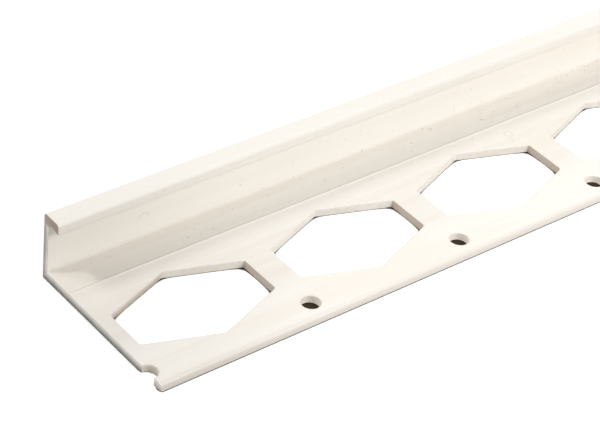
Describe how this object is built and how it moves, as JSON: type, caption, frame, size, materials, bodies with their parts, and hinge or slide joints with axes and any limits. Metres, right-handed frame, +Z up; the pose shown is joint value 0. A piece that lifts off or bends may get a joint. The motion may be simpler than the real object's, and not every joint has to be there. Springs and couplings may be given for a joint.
{
  "type": "plaster stop bead",
  "caption": "Long extruded plastic stop bead for plaster: perforated flat flange with hexagonal openings and nail holes, a low stop wall and an inturned lip.",
  "frame": {"origin": "middle of the strip's length and width, on the underside of the flange", "axes": "+X along the strip, +Y across the flange from its front edge to the stop wall, +Z up from the flange underside to the lip"},
  "size_m": [2.5, 0.026, 0.01],
  "materials": {
    "pvc": "satin cream-white rigid PVC with fine lengthwise die lines"
  },
  "bodies": {
    "root": {"stop_bead": "pvc"}
  },
  "joints": []
}
